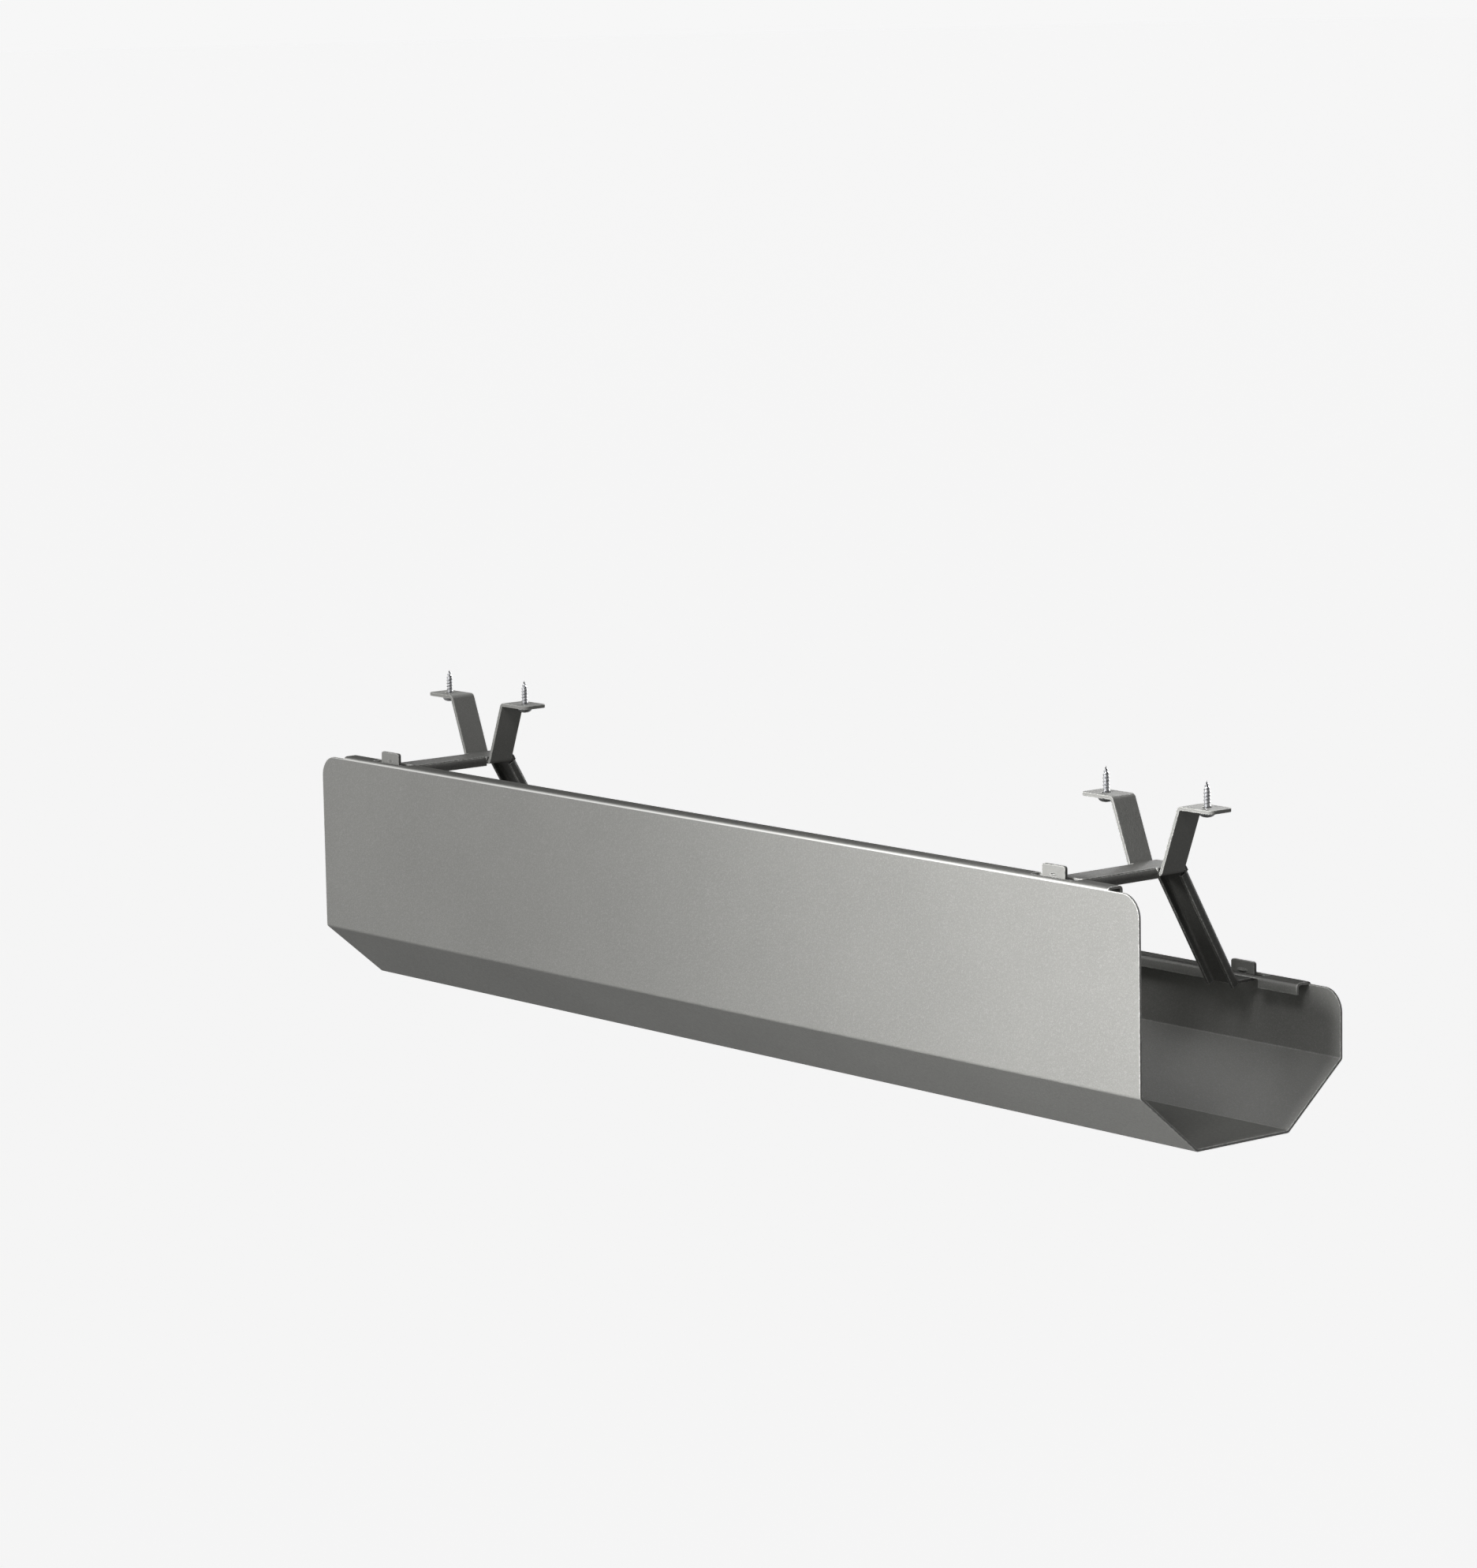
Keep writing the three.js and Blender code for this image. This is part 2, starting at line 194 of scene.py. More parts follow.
ZINC_BRIGHT = (0.62, 0.63, 0.65)
ZINC_DULL = (0.46, 0.46, 0.47)
ZINC_CLOUDS = 900
ZINC_GRAIN = 6000
ZINC_PATCHES = (0.35, 0.65)
ZINC_ROUGHNESS = (0.22, 0.42)
ZINC_BUMP = (0.3, 0.00003)

# ---- Camera, light and floor, in metres ----

CAMERA_PLACE = (2.2335, -1.8631, 0.4137)
CAMERA_AZIMUTH = math.radians(50.804)
CAMERA_DIP = math.radians(8.502)
CAMERA_ROLL = math.radians(-1.049)
CAMERA_LENS = 122.61
ROOM_FLOOR_Z = -3
ROOM_FLOOR_HALF = 300
ROOM_FLOOR_GREY = (0.85, 0.85, 0.85)
ROOM_FLOOR_ROUGHNESS = 0.9
ROOM_FLOOR_GLOW = 0.8

# The sky is bright in a band round the horizon. Heights and sides are parts of a unit direction.
SKY_LEVEL = 0.93
SKY_TOP = 0.1
SKY_TOP_FADE = (0.05, 0.45)
SKY_BOTTOM = 0.3
SKY_BOTTOM_FADE = (-0.35, -0.1)
SKY_RIGHT = 0.35  # share of the light that is left towards +X
SKY_RIGHT_FADE = (-0.2, 0.6)

# Area lights: name, place, the point aimed at, size, watts, spread in degrees.
LIGHTS = (
    ("key", (-0.1, -1.9, 0.62), (0.1, -0.07, -0.08), (1.0, 0.4), 28, 180),
    ("fill", (0.85, -0.95, 1.0), (0.3, 0.0, -0.1), (0.4, 0.4), 5.4, 180),
    ("accent", (0.3, -1.2, 0.48), (0.56, -0.07, -0.06), (0.25, 0.25), 3.5, 60),
    ("top", (-0.9, -0.3, 1.0), (0.1, 0.0, -0.1), (1.4, 0.9), 9, 180),
    ("back", (-0.8, 2.2, 0.9), (0.0, 0.0, -0.1), (1.4, 0.8), 42, 180),
    ("rim", (1.9, -1.9, -0.5), (0.3, 0.0, -0.1), (0.5, 0.9), 3, 180),
)


# ---- Mesh helpers ----


def new_object(name, bm):
    """Turns a bmesh in millimetres into a linked object in metres."""
    bmesh.ops.scale(bm, vec=(MM, MM, MM), verts=bm.verts)
    bmesh.ops.recalc_face_normals(bm, faces=bm.faces)
    mesh = bpy.data.meshes.new(name)
    bm.to_mesh(mesh)
    bm.free()
    obj = bpy.data.objects.new(name, mesh)
    bpy.context.scene.collection.objects.link(obj)
    return obj


def apply_modifiers(obj):
    depsgraph = bpy.context.evaluated_depsgraph_get()
    mesh = bpy.data.meshes.new_from_object(obj.evaluated_get(depsgraph))
    obj.modifiers.clear()
    old = obj.data
    obj.data = mesh
    bpy.data.meshes.remove(old)


def boolean(obj, tools, operation):
    """Cuts obj by each tool, or joins each to it, and removes the tools."""
    for tool in tools:
        modifier = obj.modifiers.new(tool.name, "BOOLEAN")
        modifier.operation = operation
        modifier.solver = "EXACT"
        modifier.object = tool
    apply_modifiers(obj)
    for tool in tools:
        bpy.data.objects.remove(tool)


def sort_mesh(obj):
    """Puts the points and faces in a fixed order, since the booleans leave them in none."""
    old = obj.data
    order = sorted(range(len(old.vertices)), key=lambda i: old.vertices[i].co[:])
    rank = {before: after for after, before in enumerate(order)}
    faces = []
    for polygon in old.polygons:
        ring = [rank[i] for i in polygon.vertices]
        start = ring.index(min(ring))
        faces.append(ring[start:] + ring[:start])
    obj.data = bpy.data.meshes.new(old.name)
    obj.data.from_pydata([old.vertices[i].co for i in order], [], sorted(faces))
    bpy.data.meshes.remove(old)


def clean(obj):
    """Merges the slivers and the coplanar faces that the booleans leave."""
    sort_mesh(obj)
    bm = bmesh.new()
    bm.from_mesh(obj.data)
    bmesh.ops.remove_doubles(bm, verts=bm.verts, dist=SLIVER * MM)
    bmesh.ops.dissolve_degenerate(bm, dist=SLIVER * MM, edges=bm.edges)
    bmesh.ops.dissolve_limit(bm, angle_limit=FLAT_ANGLE, verts=bm.verts, edges=bm.edges)
    bm.to_mesh(obj.data)
    bm.free()


def soften(obj, radius=EDGE_RADIUS):
    """Rounds the cut edges and shades the folds smoothly."""
    clean(obj)
    bevel = obj.modifiers.new("edges", "BEVEL")
    bevel.width = radius * MM
    bevel.segments = EDGE_SEGMENTS
    bevel.limit_method = "ANGLE"
    bevel.angle_limit = SHARP_ANGLE
    bevel.use_clamp_overlap = False
    apply_modifiers(obj)
    obj.data.shade_smooth()
    obj.data.set_sharp_from_angle(angle=SHARP_ANGLE)
    weighted = obj.modifiers.new("normals", "WEIGHTED_NORMAL")
    weighted.keep_sharp = True
    weighted.weight = NORMAL_WEIGHT
    apply_modifiers(obj)


def prism(name, outline, start, end, place):
    """A solid between two copies of an outline; place(a, b, along) gives a point."""
    bm = bmesh.new()
    rings = [[bm.verts.new(place(a, b, along)) for a, b in outline] for along in (start, end)]
    bm.faces.new(rings[0])
    bm.faces.new(reversed(rings[1]))
    for i in range(len(outline)):
        j = (i + 1) % len(outline)
        bm.faces.new((rings[0][i], rings[0][j], rings[1][j], rings[1][i]))
    return new_object(name, bm)


def along_x(a, b, along):
    return (along, a, b)


def along_y(a, b, along):
    return (a, along, b)


def along_z(a, b, along):
    return (a, b, along)


def block(xs, ys, zs):
    outline = [(xs[0], ys[0]), (xs[1], ys[0]), (xs[1], ys[1]), (xs[0], ys[1])]
    return prism("block", outline, zs[0], zs[1], along_z)


def arc(centre, radius, start, end):
    """Points round an arc from one angle to another, both ends included."""
    count = max(1, math.ceil(abs(end - start) / CORNER_STEP))
    angles = [start + (end - start) * k / count for k in range(count + 1)]
    return [(centre[0] + radius * math.cos(t), centre[1] + radius * math.sin(t)) for t in angles]


def circle(bm, radius, z, x=0):
    """A level ring of points round (x, 0)."""
    angles = [2 * math.pi * k / ROUND_SEGMENTS for k in range(ROUND_SEGMENTS)]
    return [bm.verts.new((x + radius * math.cos(t), radius * math.sin(t), z)) for t in angles]


def outside_corner(tip, signs, radius):
    """The outline of what lies outside a rounded corner; signs give the two ways out of it."""
    centre = (tip[0] - signs[0] * radius, tip[1] - signs[1] * radius)
    beyond = (tip[0] + signs[0] * MARGIN, tip[1] + signs[1] * MARGIN)
    finish = 0 if signs[0] > 0 else math.pi
    rounding = arc(centre, radius, signs[1] * math.pi / 2, signs[1] * finish)
    return [beyond, (centre[0], beyond[1]), *rounding, (beyond[0], centre[1])]


def rounded_rectangle(centre, size, radius):
    outline = []
    for k, (sign_a, sign_b) in enumerate([(1, 1), (-1, 1), (-1, -1), (1, -1)]):
        corner = (centre[0] + sign_a * (size[0] / 2 - radius), centre[1] + sign_b * (size[1] / 2 - radius))
        outline += arc(corner, radius, k * math.pi / 2, (k + 1) * math.pi / 2)
    return outline


# ---- Bent sheet ----


def left_normal(start, end):
    along = (end - start).normalized()
    return Vector((-along.y, along.x))


def offset_left(pairs, distance):
    """Moves a line of corners to its left by a distance, which may be negative."""
    points = [Vector(pair) for pair in pairs]
    normals = [left_normal(points[i], points[i + 1]) for i in range(len(points) - 1)]
    moved = []
    for i, point in enumerate(points):
        before = normals[max(i - 1, 0)]
        after = normals[min(i, len(normals) - 1)]
        moved.append(point + (before + after) * (distance / (1 + before.dot(after))))
    return moved


def bend_stations(before, corner, after, radius):
    """Points of the centre line round one corner, each with the normal to its left."""
    normal = left_normal(before, corner)
    along = (corner - before).normalized()
    onward = (after - corner).normalized()
    turn = math.atan2(along.cross(onward), along.dot(onward))
    reach = math.copysign(radius, turn)
    start = corner - along * (radius * math.tan(abs(turn) / 2))
    centre = start + normal * reach
    facets = math.ceil(abs(turn) / BEND_STEP)
    stations = []
    for k in range(facets + 1):
        turned = Matrix.Rotation(turn * k / facets, 2) @ normal
        stations.append((centre - turned * reach, turned))
    return stations


def sheet_stations(line, thickness, inside_radius):
    radius = inside_radius + thickness / 2
    stations = [(line[0], left_normal(line[0], line[1]))]
    for i in range(1, len(line) - 1):
        stations += bend_stations(line[i - 1], line[i], line[i + 1], radius)
    stations.append((line[-1], left_normal(line[-2], line[-1])))
    return stations


def bent_sheet(name, line, thickness, inside_radius, span, place):
    """A bent sheet of even thickness that follows a centre line, extruded over a span."""
    stations = sheet_stations(line, thickness, inside_radius)
    bm = bmesh.new()
    rings = []
    for point, normal in stations:
        sides = [point - normal * (thickness / 2), point + normal * (thickness / 2)]
        rings.append([[bm.verts.new(place(side.x, side.y, along)) for along in span] for side in sides])
    for (low_a, high_a), (low_b, high_b) in zip(rings, rings[1:]):
        bm.faces.new((low_a[0], low_b[0], low_b[1], low_a[1]))
        bm.faces.new((high_a[0], high_a[1], high_b[1], high_b[0]))
        for end in (0, 1):
            bm.faces.new((low_a[end], high_a[end], high_b[end], low_b[end]))
    for low, high in (rings[0], rings[-1]):
        bm.faces.new((low[0], low[1], high[1], high[0]))
    return new_object(name, bm)


# ---- The trough ----


def trough_line():
    outer = [
        (TALL_FACE + FLANGE_WIDTH, TALL_TOP - LIP_HEIGHT),
        (TALL_FACE + FLANGE_WIDTH, TALL_TOP),
        (TALL_FACE, TALL_TOP),
        (TALL_FACE, FOLD_Z),
        (TALL_FACE + SLOPE_RUN, FLOOR_Z),
        (SHORT_FACE - SLOPE_RUN, FLOOR_Z),
        (SHORT_FACE, FOLD_Z),
        (SHORT_FACE, SHORT_TOP),
        (SHORT_FACE - FLANGE_WIDTH, SHORT_TOP),
        (SHORT_FACE - FLANGE_WIDTH, SHORT_TOP - LIP_HEIGHT),
    ]
    return offset_left(outer, TRAY_SHEET / 2)


def corner_tool(end, face, inward, edge):
    """What lies outside the round corner of a wall, as a solid through the wall's thickness."""
    outline = outside_corner((end * TRAY_LENGTH / 2, edge), (end, 1), WALL_CORNER)
    return prism("corner", outline, face - inward * MARGIN, face + inward * (TRAY_SHEET + MARGIN), along_y)


def end_cuts(face, inward, top, end):
    """Tools that cut the flange and lip back from one end of a wall and round its corner."""
    tip = end * (TRAY_LENGTH / 2 + MARGIN)
    setback = end * (TRAY_LENGTH / 2 - FLANGE_SETBACK)
    across = face + inward * (FLANGE_WIDTH + MARGIN)
    edge = top - TRAY_SHEET
    return [
        block((setback, tip), (face - inward * MARGIN, across), (edge, top + MARGIN)),
        block((setback, tip), (face + inward * TRAY_SHEET, across), (top - LIP_HEIGHT - MARGIN, top)),
        corner_tool(end, face, inward, edge),
    ]


def hanger_cuts(face, inward, top, x):
    """Tools that cut the slot for a hanger's plate and the notch in the lip below it."""
    middle = face + inward * (SLOT_NEAR + SLOT_FAR) / 2
    outline = rounded_rectangle((x, middle), (SLOT_LENGTH, SLOT_FAR - SLOT_NEAR), SLOT_CORNER)
    slot = prism("slot", outline, top - TRAY_SHEET - MARGIN, top + MARGIN, along_z)
    notch = block(
        (x - LIP_NOTCH / 2, x + LIP_NOTCH / 2),
        (face + inward * SLOT_FAR, face + inward * (FLANGE_WIDTH + MARGIN)),
        (top - LIP_HEIGHT - MARGIN, top - TRAY_SHEET),
    )
    return [slot, notch]


def make_tray():
    half = TRAY_LENGTH / 2
    tray = bent_sheet("tray_sheet", trough_line(), TRAY_SHEET, TRAY_BEND, (-half, half), along_x)
    tools = []
    for face, inward, top in ((TALL_FACE, 1, TALL_TOP), (SHORT_FACE, -1, SHORT_TOP)):
        for side in (-1, 1):
            tools += end_cuts(face, inward, top, side)
            tools += hanger_cuts(face, inward, top, side * HANGER_OFFSET)
    boolean(tray, tools, "DIFFERENCE")
    soften(tray)
    return tray


# ---- The hanger's arm ----


def on_sloping_run(along):
    """A point on the upper face of the sloping run, at a distance from the apex."""
    y = TALL_FACE + APEX + along * math.sin(SLOPING_RUN_LEAN)
    return (y, WEB_TOP - along * math.cos(SLOPING_RUN_LEAN))


def strip(upper_face, width):
    span = (-width / 2, width / 2)
    return bent_sheet("strip", offset_left(upper_face, -STRIP / 2), STRIP, STRIP_BEND, span, along_x)


def arm_strip():
    upper_face = [
        (NEAR_PLATE_INNER, WEB_TOP + PLATE_RISE),
        (NEAR_PLATE_INNER, WEB_TOP),
        on_sloping_run(0),
        on_sloping_run((WEB_TOP - FOOT_TOP) / math.cos(SLOPING_RUN_LEAN)),
        (FAR_PLATE_INNER, FOOT_TOP),
        (FAR_PLATE_INNER, FOOT_TOP + PLATE_RISE),
    ]
    return strip(upper_face, ARM_WIDTH)


def apex_web():
    """The flat web between the two channels. The strap passes under it."""
    level_end = (TALL_FACE + LEVEL_RUN[1], WEB_TOP)
    return strip([level_end, on_sloping_run(0), on_sloping_run(SLOPING_RUN[0])], CHANNEL_WIDTH)


def channel(run, turn, place):
    """A straight channel along +Y, turned about X and moved to its place."""
    half = CHANNEL_WIDTH / 2
    outer = [(-half, -CHANNEL_DEPTH), (-half, 0), (half, 0), (half, -CHANNEL_DEPTH)]
    line = offset_left(outer, -STRIP / 2)
    obj = bent_sheet("channel", line, STRIP, STRIP_BEND, run, along_y)
    matrix = Matrix.Translation(Vector(place) * MM) @ Matrix.Rotation(turn, 4, "X")
    obj.data.transform(matrix)
    return obj


def mound(y, z, length, height, depth):
    """A long low mound that stands out along Y, with round ends."""
    bm = bmesh.new()
    bmesh.ops.create_uvsphere(bm, u_segments=ROUND_SEGMENTS, v_segments=ROUND_SEGMENTS // 2, radius=1)
    bmesh.ops.scale(bm, vec=(length / 2, depth, height / 2), verts=bm.verts)
    bmesh.ops.translate(bm, vec=(0, y, z), verts=bm.verts)
    return new_object("mound", bm)


def plate_corner_tools(inner, inward, top):
    """What lies outside the two rounded upper corners of a plate."""
    tools = []
    for side in (-1, 1):
        outline = outside_corner((side * ARM_WIDTH / 2, top), (side, 1), PLATE_CORNER)
        outer = inner - inward * (STRIP + MARGIN)
        tools.append(prism("corner", outline, outer, inner + inward * MARGIN, along_y))
    return tools


def make_arm(label, x):
    """Two channel runs joined by a flat web, with a plate turned up at each end."""
    arm = arm_strip()
    arm.name = f"arm_{label}"
    dimples = [(NEAR_PLATE_INNER, 1, TALL_TOP), (FAR_PLATE_INNER, -1, SHORT_TOP)]
    parts = [
        apex_web(),
        channel(LEVEL_RUN, 0, (0, TALL_FACE, WEB_TOP)),
        channel(SLOPING_RUN, SLOPING_RUN_LEAN - math.pi / 2, (0, *on_sloping_run(0))),
    ]
    for inner, _, top in dimples:
        parts.append(mound(inner, top + DIMPLE_RISE, DIMPLE_LENGTH, DIMPLE_HEIGHT, DIMPLE_DEPTH))
    boolean(arm, parts, "UNION")
    tools = plate_corner_tools(NEAR_PLATE_INNER, 1, WEB_TOP + PLATE_RISE)
    tools += plate_corner_tools(FAR_PLATE_INNER, -1, FOOT_TOP + PLATE_RISE)
    for inner, inward, top in dimples:
        outer = inner - inward * STRIP
        tools.append(mound(outer, top + DIMPLE_RISE, DENT_LENGTH, DENT_HEIGHT, DENT_DEPTH))
    boolean(arm, tools, "DIFFERENCE")
    soften(arm)
    arm.data.transform(Matrix.Translation((x * MM, 0, 0)))
    return arm


# ---- The hanger's strap ----


def screw_hole(x):
    """A hole with a bevelled rim on its lower side."""
    hole = SCREW_HOLE / 2
    flare = HOLE_SINK + MARGIN
    profile = ((hole, MARGIN), (hole, HOLE_SINK - STRIP), (hole + flare, -STRIP - MARGIN))
    bm = bmesh.new()
    rings = [circle(bm, radius, z, x) for radius, z in profile]
    bm.faces.new(rings[0])
    bm.faces.new(reversed(rings[-1]))
    for upper, lower in zip(rings, rings[1:]):
        for i in range(ROUND_SEGMENTS):
            j = (i + 1) % ROUND_SEGMENTS
            bm.faces.new((upper[i], upper[j], lower[j], lower[i]))
    return new_object("hole", bm)


def foot_corner_tools(x):
    """What lies outside the four rounded corners of the strap's two feet."""
    tools = []
    for side in (-1, 1):
        for across in (-1, 1):
            tip = (x + side * FOOT_END, across * STRAP_WIDTH / 2)
            outline = outside_corner(tip, (side, across), FOOT_CORNER)
            tools.append(prism("corner", outline, -STRIP - MARGIN, MARGIN, along_z))
    return tools


def make_strap(label, x):
    leg_reach = STRAP_BASE - STRAP_TOP * math.tan(STRAP_LEAN)
    upper_face = [
        (x - FOOT_END, 0),
        (x - leg_reach, 0),
        (x - STRAP_BASE, STRAP_TOP),
        (x + STRAP_BASE, STRAP_TOP),
        (x + leg_reach, 0),
        (x + FOOT_END, 0),
    ]
    line = offset_left(upper_face, -STRIP / 2)
    span = (-STRAP_WIDTH / 2, STRAP_WIDTH / 2)
    strap = bent_sheet(f"strap_{label}", line, STRIP, STRIP_BEND, span, along_y)
    holes = [screw_hole(x + side * SCREW_OFFSET) for side in (-1, 1)]
    boolean(strap, holes + foot_corner_tools(x), "DIFFERENCE")
    soften(strap)
    return strap


# ---- The screws ----


def revolve(name, profile):
    """Turns a profile of (radius, z) about Z. Its first and last points are on the axis."""
    bm = bmesh.new()
    rings = [circle(bm, radius, z) for radius, z in profile[1:-1]]
    first = bm.verts.new((0, 0, profile[0][1]))
    last = bm.verts.new((0, 0, profile[-1][1]))
    for i in range(ROUND_SEGMENTS):
        j = (i + 1) % ROUND_SEGMENTS
        bm.faces.new((first, rings[0][j], rings[0][i]))
        bm.faces.new((last, rings[-1][i], rings[-1][j]))
        for lower, upper in zip(rings, rings[1:]):
            bm.faces.new((lower[i], lower[j], upper[j], upper[i]))
    return new_object(name, bm)


def core_radius(rise):
    """Radius of the screw's core at a height above its seat."""
    straight = SCREW_LENGTH - SCREW_TIP
    if rise <= straight:
        return SCREW_ROOT / 2
    return SCREW_ROOT / 2 * (SCREW_LENGTH - rise) / SCREW_TIP


def thread(seat):
    """A pointed ridge wound up the core, which fades out at both of its ends."""
    turns = (SCREW_LENGTH - THREAD_START) / THREAD_PITCH
    steps = int(turns * ROUND_SEGMENTS / 2)
    bm = bmesh.new()
    rings = []
    for k in range(steps + 1):
        share = k / steps
        angle = 2 * math.pi * turns * share
        rise = THREAD_START + (SCREW_LENGTH - THREAD_START) * share
        root = core_radius(rise) * THREAD_SINK
        fade = min(1, share * turns, (1 - share) * turns)
        crest = root + (SCREW_SHANK - SCREW_ROOT) / 2 * fade
        half = THREAD_FOOT / 2 * fade
        profile = ((root, -half), (crest, 0), (root, half))
        turned = [(r * math.cos(angle), r * math.sin(angle), seat + rise + dz) for r, dz in profile]
        rings.append([bm.verts.new(point) for point in turned])
    for lower, upper in zip(rings, rings[1:]):
        for i in range(3):
            j = (i + 1) % 3
            bm.faces.new((lower[i], upper[i], upper[j], lower[j]))
    bm.faces.new(rings[0])
    bm.faces.new(reversed(rings[-1]))
    return new_object("thread", bm)


def make_screw(label, x):
    """A pan-head wood screw that points up, with a cross recess in the underside of its head."""
    seat = -STRIP - GAP
    bottom = seat - SCREW_HEAD_HEIGHT
    rim = SCREW_HEAD / 2
    dome_height = SCREW_HEAD_HEIGHT - SCREW_RIM_HEIGHT
    dome = arc((0, 0), 1, -math.pi / 2, 0)
    profile = [(rim * a, seat - SCREW_RIM_HEIGHT + dome_height * b) for a, b in dome]
    profile += [(rim, seat), (core_radius(0), seat)]
    profile += [(core_radius(SCREW_LENGTH - SCREW_TIP), seat + SCREW_LENGTH - SCREW_TIP)]
    profile += [(0, seat + SCREW_LENGTH)]
    screw = revolve(f"screw_{label}", profile)
    reach = (bottom - MARGIN, bottom + RECESS_DEPTH)
    long = (-RECESS_LENGTH / 2, RECESS_LENGTH / 2)
    narrow = (-RECESS_WIDTH / 2, RECESS_WIDTH / 2)
    cross = block(long, narrow, reach)
    boolean(cross, [block(narrow, long, reach)], "UNION")
    boolean(screw, [cross], "DIFFERENCE")
    soften(screw, EDGE_RADIUS / 2)
    ridge = thread(seat)
    merged = bmesh.new()
    merged.from_mesh(screw.data)
    merged.from_mesh(ridge.data)
    merged.to_mesh(screw.data)
    merged.free()
    bpy.data.objects.remove(ridge)
    screw.data.transform(Matrix.Translation((x * MM, 0, 0)))
    return screw


# ---- Materials ----


def node(tree, kind, **settings):
    """Adds a node and sets its attributes."""
    made = tree.nodes.new(kind)
    for name, value in settings.items():
        setattr(made, name, value)
    return made


def feed(tree, value, socket):
    """Links an output to a socket, or sets the socket to a number or a colour."""
    if isinstance(value, bpy.types.NodeSocket):
        tree.links.new(value, socket)
    elif isinstance(value, tuple):
        socket.default_value = (*value, 1)
    else:
        socket.default_value = value


def named(sockets, identifier):
    return next(socket for socket in sockets if socket.identifier == identifier)


def noise(tree, place, scale, detail, roughness=NOISE_ROUGHNESS):
    made = node(tree, "ShaderNodeTexNoise")
    made.inputs["Scale"].default_value = scale
    made.inputs["Detail"].default_value = detail
    made.inputs["Roughness"].default_value = roughness
    tree.links.new(place, made.inputs["Vector"])
    return made.outputs["Fac"]


def remap(tree, value, span, to_low=0, to_high=1):
    """Maps a span of values to another one, and holds the ends beyond it."""
    made = node(tree, "ShaderNodeMapRange")
    for name, number in zip(("From Min", "From Max", "To Min", "To Max"), (*span, to_low, to_high)):
        made.inputs[name].default_value = number
    tree.links.new(value, made.inputs["Value"])
    return made.outputs["Result"]


def mix(tree, factor, first, second):
    """Mixes a colour, or a colour output, towards a second one."""
    made = node(tree, "ShaderNodeMix", data_type="RGBA")
    tree.links.new(factor, named(made.inputs, "Factor_Float"))
    feed(tree, first, named(made.inputs, "A_Color"))
    feed(tree, second, named(made.inputs, "B_Color"))
    return named(made.outputs, "Result_Color")


def combine(tree, operation, first, second):
    made = node(tree, "ShaderNodeMath", operation=operation)
    feed(tree, first, made.inputs[0])
    feed(tree, second, made.inputs[1])
    return made.outputs["Value"]


def split(tree, vector):
    made = node(tree, "ShaderNodeSeparateXYZ")
    tree.links.new(vector, made.inputs[0])
    return made.outputs


def surface_normal(tree):
    return node(tree, "ShaderNodeNewGeometry").outputs["Normal"]


def bump(tree, shader, height, strength, depth):
    made = node(tree, "ShaderNodeBump")
    made.inputs["Strength"].default_value = strength
    made.inputs["Distance"].default_value = depth
    tree.links.new(height, made.inputs["Height"])
    tree.links.new(made.outputs["Normal"], shader.inputs["Normal"])


def edge_mask(tree):
    """1 on cut edges and tight bends, 0 on flat sheet."""
    bevel = node(tree, "ShaderNodeBevel", samples=COAT_EDGE_SAMPLES)
    bevel.inputs["Radius"].default_value = COAT_EDGE
    dot = node(tree, "ShaderNodeVectorMath", operation="DOT_PRODUCT")
    tree.links.new(bevel.outputs["Normal"], dot.inputs[0])
    tree.links.new(surface_normal(tree), dot.inputs[1])
    return remap(tree, dot.outputs["Value"], EDGE_TURN)


def upright_light_mask(tree):
    """1 on the faces that point along Y, such as the plates and the long edges of the strap, where light
    is painted.
    """
    facing = combine(tree, "ABSOLUTE", split(tree, surface_normal(tree))["Y"], 0)
    return remap(tree, facing, UPRIGHT_FACING)


def fold_highlight_mask(tree, place):
    """1 along the outer side of both top folds, where a highlight is painted as a paler coat."""
    normal = split(tree, surface_normal(tree))
    outward = combine(tree, "MULTIPLY", normal["Y"], split(tree, place)["Y"])
    rising = remap(tree, normal["Z"], FOLD_RISE)
    tilted = combine(tree, "MULTIPLY", rising, remap(tree, normal["Z"], FOLD_LEVEL))
    return combine(tree, "MULTIPLY", tilted, remap(tree, outward, FOLD_OUTWARD))


def overhead_shade_mask(tree, place):
    """1 on the flanges' upper faces, where shade is painted as if they lay close under the desktop."""
    level = remap(tree, split(tree, surface_normal(tree))["Z"], OVERHEAD_LEVEL)
    return combine(tree, "MULTIPLY", level, remap(tree, split(tree, place)["Z"], OVERHEAD_HEIGHT))


def new_material(name):
    material = bpy.data.materials.new(name)
    material.use_nodes = True
    return material, material.node_tree, material.node_tree.nodes["Principled BSDF"]


def object_place(tree):
    return node(tree, "ShaderNodeTexCoord").outputs["Object"]


